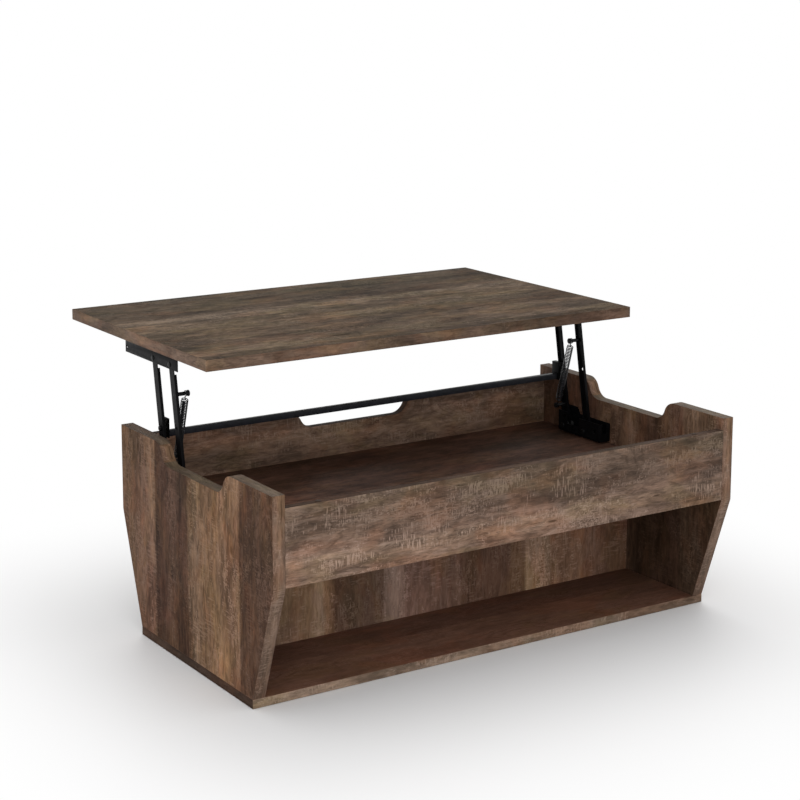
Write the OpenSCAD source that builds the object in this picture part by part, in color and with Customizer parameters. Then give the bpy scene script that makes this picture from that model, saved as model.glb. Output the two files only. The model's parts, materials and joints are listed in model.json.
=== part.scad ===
// Lift top coffee table, in millimetres, +Z up, at its real size.
// The origin is the middle of the base board's underside. +X runs along the length, and +Y
// points to the sitter's side, which the lid travels towards as it rises.
// The lid is drawn raised, leaning past upright on its arms.

/* [Table] */
// Length over both end panels
table_l = 1050; // [1000:10:1150]
// Depth of the end panels and of the lid
table_d = 600; // [580:5:640]
// Height of the end panels
table_h = 406; // [406:1:412]
// Thickness of the end panels and the shelf divider
end_t = 25; // [22:1:28]
// Thickness of the base, the aprons and the box floor
board_t = 17; // [16:0.5:18]
// How far the end panels' feet slant in, front and rear
foot_inset = 76; // [50:1:90]
// Height at which the slant begins
kink_z = 237; // [220:1:239]

/* [Storage box] */
// Height of the aprons' lower edge
apron_low = 239; // [237:1:245]
// Height of the aprons' upper edge
apron_top = 382; // [382:1:384]
// Height of the box floor's upper face
floor_top = 280; // [278:1:280]
// Flat width of the cut-out in each end panel's top edge
notch_flat = 188; // [160:2:200]
// Depth of that cut-out
notch_depth = 40; // [30:1:45]
// Flat width of the finger recess in the rear apron
grip_flat = 202; // [160:2:220]
// Depth of the finger recess
grip_depth = 35; // [25:1:40]
// Run of the S curve at each side of a cut-out
curve_run = 57; // [50:1:70]

/* [Lid] */
// Thickness of the lid
lid_t = 22; // [18:1:22]
// Gap between the lid and each end panel
lid_gap = 3; // [2:0.5:5]
// Height of the rubber bumpers
bumper_h = 1.9; // [1.5:0.1:1.9]

/* [Lift mechanism] */
// Pivot to pivot length of the arms
arm_l = 256; // [250:1:260]
// Distance between the front and rear pivots
pivot_gap = 71; // [68:1:74]
// Distance from the table's middle to the lower front pivot
front_pivot_y = 108.5; // [104:0.5:112]
// Height of the lower pivots
pivot_z = 296; // [296:0.5:298]
// Lean of the raised arms past upright, in degrees
lean = 10; // [8:0.5:12]
// Travel of the arms from raised to closed, in degrees
swing = 83.7; // [80:0.1:84]
// Width of the arms
arm_w = 18; // [16:0.5:18]
// Sheet thickness of the arms and brackets
steel_t = 2; // [1.5:0.25:2]
// Radius of the pivot rivets
rivet_r = 3; // [2.5:0.25:3]
// Side of the square crossbar
bar_w = 12; // [10:1:12]
// Outer radius of the springs
spring_r = 7.5; // [6:0.5:7.5]

/* [Hidden] */
$fn = 64;

// Clearance of a fixed fastener in its hole, and of an arm on its rivet
fit = 0.05;
running = 0.06;
// Overlength of a cutting body
cut = 1;
// Steps in each arc of an S curve
s_steps = 16;

wood_light = [0.60, 0.50, 0.40];
wood_mid = [0.52, 0.42, 0.33];
wood_dark = [0.42, 0.34, 0.28];
steel_black = [0.10, 0.10, 0.11];
zinc = [0.70, 0.70, 0.72];
spring_grey = [0.55, 0.55, 0.57];

inner_x = table_l / 2 - end_t;
half_d = table_d / 2;
apron_mid_y = half_d - board_t / 2;
floor_mid_z = floor_top - board_t / 2;
rear_pivot_y = front_pivot_y + pivot_gap;

// Travel of the lid from closed to raised
lid_shift_y = arm_l * (sin(lean) + sin(swing - lean));
lid_rise = arm_l * (cos(lean) - cos(swing - lean));
lid_low = apron_top + bumper_h + 0.1 + lid_rise;
lid_l = 2 * (inner_x - lid_gap);
upper_dy = arm_l * sin(lean);
upper_z = pivot_z + arm_l * cos(lean);

// Places across the width of the mechanism, measured inwards from an end panel's inner face
flange_u = 9;
arm_u = 12;
arm_depth = 6;
bracket_w = 28;
spring_u = 37;
pin_end_u = 44.5;

// Base bracket outline, as [y, z]
bracket_y0 = front_pivot_y - 57.5;
bracket_y1 = rear_pivot_y + 18.7;
bracket_z0 = pivot_z - 12;
bracket_z1 = pivot_z + 26;
ear_z1 = pivot_z + 32;
web_z1 = pivot_z + 40;
ledge_z = pivot_z + 6;
stop_t = 2;
bracket_screws = [[front_pivot_y - 38.5, pivot_z + 8], [front_pivot_y + 35.5, pivot_z - 3],
                  [rear_pivot_y - 7.5, pivot_z + 22]];

// Lid bracket
lid_flange_h = 25;
lid_flange_w = 25;
lid_bracket_y0 = front_pivot_y + upper_dy - 33;
lid_bracket_l = 226;
lid_screw_u = 24;
lid_screw_y = [16, 92, 210];

// Crossbar and its clips, on the rear arm
bar_along = 108;
bar_off = 10;
bar_y = rear_pivot_y + bar_along * sin(lean) + bar_off * cos(lean);
bar_z = pivot_z + bar_along * cos(lean) - bar_off * sin(lean);
clip_y0 = bar_y - 12;
clip_w = 24;
clip_z0 = bar_z - 7.6;
clip_h = 39;
clip_bolt_s = 120;
spare_hole_s = 134;

// Spring, from the stud on the rear arm to the pin on the front arm
stud_s = 45;
pin_s = 198;
stud_y = rear_pivot_y + stud_s * sin(lean);
stud_z = pivot_z + stud_s * cos(lean);
pin_y = front_pivot_y + pin_s * sin(lean);
pin_z = pivot_z + pin_s * cos(lean);
spring_l = norm([pin_y - stud_y, pin_z - stud_z]);
spring_tilt = atan2(stud_y - pin_y, pin_z - stud_z);
pin_r = 3.5;
hook_r = 5;
wire_r = 1;
hook_neck = 15;

// Board fasteners
screw_r = 3;
screw_len = 50;
screw_head_r = 5;
screw_head_h = 3;
end_screw_y = [-170, 0, 170];
divider_screw_x = [-350, -120, 120, 350];
cam_r = 7.5;
cam_depth = 12.5;
cam_back = 34;
cam_bolt_r = 3.5;
cam_bolt_in = 11;
cam_z = apron_low + 12;
cam_floor_y = 180;
dowel_r = 4;
dowel_in = 10;
dowel_len = 30;
apron_dowel_z = [floor_top + 20, apron_top - 32];
divider_dowel_x = [-300, 0, 300];
divider_dowel_down = 18;
bumper_x = 430;
bumper_r = 5;
tapping_r = 1.9;
tapping_len = 14;
tapping_head_r = 4;
tapping_head_h = 2.4;

// Draws its children at the left end and mirrored at the right end
module sides() {
    children();
    mirror([1, 0, 0]) children();
}

// A rod along X at the left end, from u0 to u1 inwards of the end panel's inner face
module rod(r, u0, u1, y, z, facets = 64) {
    translate([-inner_x + u0, y, z]) rotate([0, 90, 0]) cylinder(r = r, h = u1 - u0, $fn = facets);
}

// A plate at the left end with an outline in [y, z], t thick from u inwards
module plate(u, t) {
    translate([-inner_x + u, 0, 0]) rotate([90, 0, 90]) linear_extrude(t) children();
}

// Points of an S curve of two arcs, which climbs from [x, -depth] to [x + run, 0]
function s_curve(x, depth, run) =
    let (turn = 2 * atan(depth / run), r = run / 2 / sin(turn))
    concat(
        [for (i = [0:s_steps]) [x + r * sin(turn * i / s_steps), r - depth - r * cos(turn * i / s_steps)]],
        [for (i = [s_steps - 1:-1:0])
            [x + run - r * sin(turn * i / s_steps), r * cos(turn * i / s_steps) - r]]);

// A cut-out that hangs from y = 0, flat at the bottom, with an S curve at each side
module s_notch(flat, depth, run) {
    side = s_curve(flat / 2, depth, run);
    last = len(side) - 1;
    polygon(concat(side, [[flat / 2 + run, cut], [-flat / 2 - run, cut]],
                   [for (i = [last:-1:0]) [-side[i][0], side[i][1]]]));
}

// Fasteners, each drawn with a clearance c, so that the same modules cut their holes
module base_screw(x, y, c = 0) {
    translate([x, y, -c]) {
        cylinder(r = screw_head_r + c, h = screw_head_h + 2 * c);
        cylinder(r = screw_r + c, h = screw_len + 2 * c);
    }
}

module all_base_screws(c = 0) {
    for (y = end_screw_y) sides() base_screw(-table_l / 2 + end_t / 2, y, c);
    for (x = divider_screw_x) base_screw(x, 0, c);
}

module all_cam_bolts(c = 0) {
    sides() {
        for (s = [-1, 1]) {
            rod(cam_bolt_r + c, -cam_bolt_in - c, cam_back - cam_r, s * apron_mid_y, cam_z);
            rod(cam_bolt_r + c, -cam_bolt_in - c, cam_back - cam_r, s * cam_floor_y, floor_mid_z);
        }
    }
}

module all_cam_discs(c = 0) {
    sides() for (s = [-1, 1]) {
        translate([-inner_x + cam_back, s * (half_d - board_t - c), cam_z])
            rotate([-90 * s, 0, 0]) cylinder(r = cam_r + c, h = cam_depth + 2 * c);
        translate([-inner_x + cam_back, s * cam_floor_y, floor_top - board_t - c])
            cylinder(r = cam_r + c, h = cam_depth + 2 * c);
    }
}

module all_dowels(c = 0) {
    sides() {
        for (s = [-1, 1], z = apron_dowel_z)
            rod(dowel_r + c, -dowel_in - c, dowel_len - dowel_in + c, s * apron_mid_y, z);
        rod(dowel_r + c, -dowel_in - c, dowel_len - dowel_in + c, 0, floor_mid_z);
    }
    for (x = divider_dowel_x)
        translate([x, 0, floor_top - board_t - divider_dowel_down - c])
            cylinder(r = dowel_r + c, h = dowel_len + 2 * c);
}

module all_bracket_screws(c = 0) {
    sides() for (p = bracket_screws) {
        rod(tapping_r + c, -tapping_len - c, steel_t + c, p[0], p[1]);
        rod(tapping_head_r + c, steel_t, steel_t + tapping_head_h, p[0], p[1]);
    }
}

module all_lid_screws(c = 0) {
    sides() for (y = lid_screw_y)
        translate([-inner_x + lid_screw_u, lid_bracket_y0 + y, lid_low - steel_t]) {
            translate([0, 0, -tapping_head_h]) cylinder(r = tapping_head_r + c, h = tapping_head_h);
            cylinder(r = tapping_r + c, h = tapping_len + steel_t + c);
        }
}

// Boards
module base_board() {
    color(wood_light) difference() {
        translate([-table_l / 2, foot_inset - half_d, 0])
            cube([table_l, table_d - 2 * foot_inset, board_t]);
        all_base_screws(fit);
    }
}

module end_panel() {
    difference() {
        plate(-end_t, end_t) difference() {
            polygon([[-half_d, table_h], [-half_d, kink_z], [foot_inset - half_d, board_t],
                     [half_d - foot_inset, board_t], [half_d, kink_z], [half_d, table_h]]);
            translate([0, table_h]) s_notch(notch_flat, notch_depth, curve_run);
        }
        all_base_screws(fit);
        all_cam_bolts(fit);
        all_dowels(fit);
        all_bracket_screws(fit);
    }
}

module end_panel_left() { color(wood_light) end_panel(); }
module end_panel_right() { color(wood_light) mirror([1, 0, 0]) end_panel(); }

module apron_blank(side) {
    translate([-inner_x, side > 0 ? half_d - board_t : -half_d, apron_low])
        cube([2 * inner_x, board_t, apron_top - apron_low]);
}

module front_apron() {
    color(wood_mid) difference() {
        apron_blank(-1);
        all_cam_bolts(fit);
        all_cam_discs(fit);
        all_dowels(fit);
    }
}

module rear_apron() {
    color(wood_mid) difference() {
        apron_blank(1);
        translate([0, half_d + cut, apron_top]) rotate([90, 0, 0])
            linear_extrude(board_t + 2 * cut) s_notch(grip_flat, grip_depth, curve_run);
        all_cam_bolts(fit);
        all_cam_discs(fit);
        all_dowels(fit);
    }
}

module box_floor() {
    color(wood_dark) difference() {
        translate([-inner_x, board_t - half_d, floor_top - board_t])
            cube([2 * inner_x, table_d - 2 * board_t, board_t]);
        all_cam_bolts(fit);
        all_cam_discs(fit);
        all_dowels(fit);
    }
}

module shelf_divider() {
    color(wood_mid) difference() {
        translate([-inner_x, -end_t / 2, board_t])
            cube([2 * inner_x, end_t, floor_top - 2 * board_t]);
        all_base_screws(fit);
        all_dowels(fit);
    }
}

module base_screws() {
    color(zinc) difference() {
        all_base_screws();
        for (y = end_screw_y) sides() translate([-table_l / 2 + end_t / 2, y, -cut])
            cylinder(r = 2.3, h = cut + 2.5, $fn = 6);
        for (x = divider_screw_x) translate([x, 0, -cut]) cylinder(r = 2.3, h = cut + 2.5, $fn = 6);
    }
}

module cam_bolts() { color(zinc) all_cam_bolts(); }

// Each cam disc has a cross slot that is turned with a screwdriver
module cam_discs() {
    color(zinc) difference() {
        all_cam_discs();
        sides() for (s = [-1, 1]) {
            translate([-inner_x + cam_back, s * (half_d - board_t), cam_z])
                cube([2 * cam_r - 6, 3, 1.6], center = true);
            translate([-inner_x + cam_back, s * cam_floor_y, floor_top - board_t])
                cube([2 * cam_r - 6, 1.6, 3], center = true);
        }
    }
}

module wood_dowels() { color(wood_light) all_dowels(); }

module lid_bumpers() {
    color([0.15, 0.15, 0.15]) sides() for (s = [-1, 1])
        translate([-bumper_x, s * apron_mid_y, apron_top]) cylinder(r = bumper_r, h = bumper_h);
}

// Base bracket: a folded trough screwed to the end panel, which holds both lower pivots
module inner_wall_outline() {
    corner = 6;
    ear_half = 14.5;
    difference() {
        union() {
            translate([bracket_y0, bracket_z0])
                square([rear_pivot_y + ear_half - corner - bracket_y0, ledge_z - bracket_z0]);
            translate([bracket_y0, bracket_z0])
                square([front_pivot_y + 14 - bracket_y0, bracket_z1 - bracket_z0]);
            translate([rear_pivot_y - ear_half, bracket_z0 + corner])
                square([2 * ear_half, ear_z1 - bracket_z0 - corner]);
            translate([rear_pivot_y + ear_half - corner, bracket_z0 + corner]) circle(corner);
        }
        for (p = bracket_screws) translate(p) circle(4.5);
    }
}

module base_bracket() {
    slot_u = arm_u - 3;
    slot_w = arm_depth + 6;
    difference() {
        union() {
            plate(0, steel_t) polygon([
                [bracket_y0, bracket_z0], [bracket_y1 - 6, bracket_z0], [bracket_y1, bracket_z0 + 6],
                [bracket_y1, web_z1], [rear_pivot_y - 18, web_z1], [rear_pivot_y - 26, bracket_z1],
                [bracket_y0, bracket_z1]]);
            plate(bracket_w - steel_t, steel_t) inner_wall_outline();
            translate([-inner_x, bracket_y0, bracket_z0])
                cube([bracket_w, rear_pivot_y + 8 - bracket_y0, steel_t]);
            translate([-inner_x, bracket_y0, bracket_z0])
                cube([bracket_w, steel_t, bracket_z1 - bracket_z0]);
            // Stop that the raised rear arm leans on
            translate([-inner_x, bracket_y1 - stop_t, web_z1 - 14]) cube([arm_u + 5, stop_t, 14]);
        }
        // Slot that the closed front arm lies in
        translate([-inner_x + slot_u, bracket_y0 - cut, pivot_z + 4])
            cube([slot_w, steel_t + 2 * cut, bracket_z1]);
        for (y = [front_pivot_y, rear_pivot_y]) rod(rivet_r + fit, -cut, bracket_w + cut, y, pivot_z);
        all_bracket_screws(fit);
    }
}

module base_bracket_left() { color(steel_black) base_bracket(); }
module base_bracket_right() { color(steel_black) mirror([1, 0, 0]) base_bracket(); }
module base_bracket_screws() { color(zinc) all_bracket_screws(); }

module lower_pivot_rivets() {
    color(zinc) sides() for (y = [front_pivot_y, rear_pivot_y]) {
        rod(rivet_r, 0, bracket_w, y, pivot_z);
        rod(2 * rivet_r, bracket_w, bracket_w + 2.5, y, pivot_z);
    }
}

module spacer(r, u0, u1, y) {
    difference() {
        rod(r, u0, u1, y, pivot_z);
        rod(rivet_r + fit, u0 - cut, u1 + cut, y, pivot_z);
    }
}

module lower_pivot_spacers() {
    color([0.85, 0.85, 0.82]) sides() for (y = [front_pivot_y, rear_pivot_y]) {
        spacer(6, steel_t, arm_u - 0.2, y);
        spacer(6, arm_u + steel_t + 0.2, bracket_w - steel_t, y);
    }
}

// An arm: a flat bar with folded edges, drawn from its lower pivot, with holes [distance, radius]
module arm(y, holes) {
    fold_end = 20;
    translate([-inner_x + arm_u, y, pivot_z]) rotate([-lean, 0, 0]) {
        rotate([90, 0, 90]) linear_extrude(steel_t) difference() {
            union() {
                translate([-arm_w / 2, 0]) square([arm_w, arm_l]);
                circle(arm_w / 2);
                translate([0, arm_l]) circle(arm_w / 2);
            }
            for (h = holes) translate([0, h[0]]) circle(h[1]);
        }
        for (s = [-1, 1])
            translate([0, s * (arm_w - steel_t) / 2 - steel_t / 2, fold_end])
                cube([arm_depth, steel_t, arm_l - 2 * fold_end]);
    }
}

pivot_holes = [[0, rivet_r + running], [arm_l, rivet_r + running]];

module front_arm() { arm(front_pivot_y, concat(pivot_holes, [[spare_hole_s, 3.2], [pin_s, 2.5 + fit]])); }
module rear_arm() { arm(rear_pivot_y, concat(pivot_holes, [[clip_bolt_s, 3 + fit], [stud_s, 2.5 + fit]])); }

module front_arm_left() { color(steel_black) front_arm(); }
module front_arm_right() { color(steel_black) mirror([1, 0, 0]) front_arm(); }
module rear_arm_left() { color(steel_black) rear_arm(); }
module rear_arm_right() { color(steel_black) mirror([1, 0, 0]) rear_arm(); }

// Headed pins on the front arms, which the springs' upper hooks pull on
module spring_pins() {
    color(zinc) sides() {
        rod(2.5, arm_u, arm_u + steel_t, pin_y, pin_z);
        rod(pin_r, arm_u + steel_t, pin_end_u - 3.5, pin_y, pin_z);
        rod(5.5, pin_end_u - 3.5, pin_end_u, pin_y, pin_z);
    }
}

// Studs on the rear arms, which the springs' lower hooks pull on
module spring_studs() {
    color(zinc) sides() {
        rod(2.5, arm_u, arm_u + steel_t, stud_y, stud_z);
        rod(pin_r, arm_u + steel_t, pin_end_u, stud_y, stud_z);
    }
}

module spring_stud_nuts() {
    color(zinc) sides() difference() {
        rod(6, pin_end_u - 4.5, pin_end_u - 0.5, stud_y, stud_z, 6);
        rod(pin_r + fit, pin_end_u - 6, pin_end_u + 1, stud_y, stud_z);
    }
}

// Crossbar: a square tube that makes both rear arms turn together
module crossbar() {
    wall = 1.2;
    bar_x = inner_x - bracket_w - 0.5;
    color(steel_black) translate([0, bar_y, bar_z]) difference() {
        cube([2 * bar_x, bar_w, bar_w], center = true);
        cube([2 * bar_x + cut, bar_w - 2 * wall, bar_w - 2 * wall], center = true);
    }
}

module crossbar_clip() {
    clip_u = arm_u + arm_depth;
    clip_out = bracket_w + 0.5;
    difference() {
        translate([-inner_x + clip_u, clip_y0, clip_z0]) cube([clip_out - clip_u, clip_w, clip_h]);
        translate([-inner_x + clip_u + steel_t, clip_y0 - cut, clip_z0 - cut])
            cube([clip_out - clip_u - 2 * steel_t, clip_w + 2 * cut, clip_h - steel_t + cut]);
        clip_bore(3 + fit, clip_u - cut, clip_u + steel_t + cut);
    }
}

module clip_bore(r, u0, u1, facets = 64) {
    rod(r, u0, u1, rear_pivot_y + clip_bolt_s * sin(lean), pivot_z + clip_bolt_s * cos(lean), facets);
}

module crossbar_clip_left() { color(steel_black) crossbar_clip(); }
module crossbar_clip_right() { color(steel_black) mirror([1, 0, 0]) crossbar_clip(); }

module clip_bolts() {
    color(zinc) sides() {
        clip_bore(5.5, arm_u - 3.5, arm_u, 6);
        clip_bore(3, arm_u, arm_u + arm_depth + steel_t + 4.5);
    }
}

module clip_nuts() {
    nut_u = arm_u + arm_depth + steel_t;
    color(zinc) sides() difference() {
        clip_bore(5.5, nut_u, nut_u + 4, 6);
        clip_bore(3 + fit, nut_u - cut, nut_u + 4 + cut);
    }
}

// A spring, from its lower hook at the stud up to the end of its coil
module spring_place() {
    translate([spring_u - inner_x, stud_y, stud_z]) rotate([spring_tilt, 0, 0]) children();
}

module hook_ring() {
    rotate([0, 90, 0]) rotate_extrude() translate([hook_r, 0]) circle(wire_r, $fn = 24);
}

module spring() {
    color(spring_grey) spring_place() {
        hook_ring();
        translate([0, 0, hook_r]) cylinder(r = wire_r, h = hook_neck - hook_r);
        translate([0, 0, hook_neck]) difference() {
            cylinder(r = spring_r, h = spring_l - 2 * hook_neck);
            translate([0, 0, 2]) cylinder(r = spring_r - 2 * wire_r, h = spring_l);
        }
    }
}

module spring_top_hook() {
    color(spring_grey) spring_place() translate([0, 0, spring_l]) {
        hook_ring();
        translate([0, 0, 2 - hook_neck]) cylinder(r = wire_r, h = hook_neck - hook_r - 2);
        translate([0, 0, 0.3 - hook_neck]) cylinder(r = spring_r, h = 2);
    }
}

module spring_left() { spring(); }
module spring_right() { mirror([1, 0, 0]) spring(); }
module spring_top_hook_left() { spring_top_hook(); }
module spring_top_hook_right() { mirror([1, 0, 0]) spring_top_hook(); }

// Lid and its angle brackets
module lid_panel() {
    color(wood_dark) difference() {
        translate([-lid_l / 2, lid_shift_y - half_d, lid_low]) cube([lid_l, table_d, lid_t]);
        all_lid_screws(fit);
    }
}

module lid_bracket() {
    hole_z = upper_z + 1;
    difference() {
        translate([-inner_x + flange_u, lid_bracket_y0, 0]) union() {
            translate([0, 0, lid_low - lid_flange_h]) cube([steel_t, lid_bracket_l, lid_flange_h]);
            translate([0, 0, lid_low - steel_t]) cube([lid_flange_w, lid_bracket_l, steel_t]);
        }
        for (y = [front_pivot_y, rear_pivot_y])
            rod(rivet_r + fit, flange_u - cut, arm_u, y + upper_dy, upper_z);
        rod(3, flange_u - cut, arm_u, lid_bracket_y0 + lid_bracket_l - 6, hole_z);
        all_lid_screws(fit);
    }
}

module lid_bracket_left() { color(steel_black) lid_bracket(); }
module lid_bracket_right() { color(steel_black) mirror([1, 0, 0]) lid_bracket(); }
module lid_bracket_screws() { color(zinc) all_lid_screws(); }

module upper_pivot_rivets() {
    tail_u = arm_u + steel_t + 0.3;
    color(zinc) sides() for (y = [front_pivot_y, rear_pivot_y]) {
        rod(5.5, flange_u - 2, flange_u, y + upper_dy, upper_z);
        rod(rivet_r, flange_u, tail_u, y + upper_dy, upper_z);
        rod(5, tail_u, tail_u + 2, y + upper_dy, upper_z);
    }
}

module upper_pivot_washers() {
    washer_u = flange_u + steel_t;
    color([0.85, 0.85, 0.82]) sides() for (y = [front_pivot_y, rear_pivot_y]) difference() {
        rod(6.5, washer_u, arm_u - 0.15, y + upper_dy, upper_z);
        rod(rivet_r + fit, washer_u - cut, arm_u, y + upper_dy, upper_z);
    }
}

base_board();
end_panel_left();
end_panel_right();
front_apron();
rear_apron();
box_floor();
shelf_divider();
base_screws();
cam_bolts();
cam_discs();
wood_dowels();
lid_bumpers();
base_bracket_left();
base_bracket_right();
base_bracket_screws();
lower_pivot_rivets();
lower_pivot_spacers();
front_arm_left();
front_arm_right();
spring_pins();
rear_arm_left();
rear_arm_right();
spring_studs();
spring_stud_nuts();
crossbar();
crossbar_clip_left();
crossbar_clip_right();
clip_bolts();
clip_nuts();
spring_left();
spring_right();
spring_top_hook_left();
spring_top_hook_right();
lid_panel();
lid_bracket_left();
lid_bracket_right();
lid_bracket_screws();
upper_pivot_rivets();
upper_pivot_washers();
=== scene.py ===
# Looks of the lift top coffee table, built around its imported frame
import bmesh
import bpy
import json
import math
from mathutils import Matrix, Vector


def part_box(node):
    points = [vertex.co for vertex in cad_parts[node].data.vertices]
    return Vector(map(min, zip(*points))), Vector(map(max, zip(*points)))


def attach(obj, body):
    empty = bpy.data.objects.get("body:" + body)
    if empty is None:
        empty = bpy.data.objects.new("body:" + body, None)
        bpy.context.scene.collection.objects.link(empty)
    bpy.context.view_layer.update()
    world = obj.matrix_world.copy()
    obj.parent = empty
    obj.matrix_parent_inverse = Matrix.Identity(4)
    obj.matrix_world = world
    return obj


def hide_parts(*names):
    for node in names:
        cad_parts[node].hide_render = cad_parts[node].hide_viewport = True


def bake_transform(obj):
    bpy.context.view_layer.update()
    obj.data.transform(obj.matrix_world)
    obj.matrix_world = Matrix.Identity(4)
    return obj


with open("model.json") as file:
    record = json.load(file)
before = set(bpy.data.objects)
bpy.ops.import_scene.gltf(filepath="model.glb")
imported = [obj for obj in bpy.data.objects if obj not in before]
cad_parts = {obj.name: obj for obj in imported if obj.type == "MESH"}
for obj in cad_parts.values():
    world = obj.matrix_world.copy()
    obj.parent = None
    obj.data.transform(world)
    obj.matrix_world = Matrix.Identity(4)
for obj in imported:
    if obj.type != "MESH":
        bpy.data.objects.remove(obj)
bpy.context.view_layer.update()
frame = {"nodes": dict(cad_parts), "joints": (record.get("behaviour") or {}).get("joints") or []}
nodes = frame["nodes"]
joints = {j["name"]: j for j in frame["joints"]}
print("frame loaded with", len(nodes), "nodes")


# small helpers for node trees
def put(tree, kind, inputs=None, **settings):
    node = tree.nodes.new(kind)
    for key, value in settings.items():
        setattr(node, key, value)
    for key, value in (inputs or {}).items():
        if isinstance(value, bpy.types.NodeSocket):
            tree.links.new(value, node.inputs[key])
        else:
            node.inputs[key].default_value = value
    return node


def calc(tree, operation, a, b=0.0, c=None, clamp=False):
    inputs = {0: a, 1: b}
    if c is not None:
        inputs[2] = c
    return put(tree, "ShaderNodeMath", inputs, operation=operation, use_clamp=clamp).outputs[0]


def times(tree, *values):
    total = values[0]
    for value in values[1:]:
        total = calc(tree, "MULTIPLY", total, value)
    return total


def calcVector(tree, operation, a, b=(0, 0, 0), c=None):
    inputs = {0: a, 1: b}
    if c is not None:
        inputs[2] = c
    return put(tree, "ShaderNodeVectorMath", inputs, operation=operation).outputs[0]


def scaleColor(tree, color, factor):
    return put(tree, "ShaderNodeVectorMath", {0: color, "Scale": factor}, operation="SCALE").outputs[0]


def noise(tree, place, scale, detail=2.0, rough=0.5, twist=0.0):
    return put(tree, "ShaderNodeTexNoise", {"Vector": place, "Scale": scale, "Detail": detail,
                                            "Roughness": rough, "Distortion": twist}).outputs[0]


def remap(tree, value, low, high, toLow=0.0, toHigh=1.0, smooth=False):
    kind = "SMOOTHSTEP" if smooth else "LINEAR"
    return put(tree, "ShaderNodeMapRange", {"Value": value, "From Min": low, "From Max": high,
                                            "To Min": toLow, "To Max": toHigh},
               interpolation_type=kind, clamp=True).outputs[0]


def mixColor(tree, factor, a, b, blend="MIX"):
    node = put(tree, "ShaderNodeMix", {0: factor, 6: a, 7: b}, data_type="RGBA", blend_type=blend)
    return node.outputs[2]


def linear(tone, gain=(1.0, 1.0, 1.0)):
    # from 0-255 screen values to linear colour, with a gain for each channel
    out = []
    for c, g in zip(tone, gain):
        c = c / 255
        out.append(g * (c / 12.92 if c <= 0.04045 else ((c + 0.055) / 1.055) ** 2.4))
    return (*out, 1.0)


def newMaterial(name):
    mat = bpy.data.materials.new(name)
    mat.use_nodes = True
    tree = mat.node_tree
    return mat, tree, tree.nodes["Principled BSDF"]


# the printed oak laminate
printLook = {
    "paleGain": 1.95,
    "darkGain": 0.34,
    "knotSwirl": 0.5,
    "ringLines": 60.0,
    "warmTint": (1.09, 0.92, 0.82, 1),
    "oliveTint": (0.99, 1.02, 0.86, 1),
}


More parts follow.
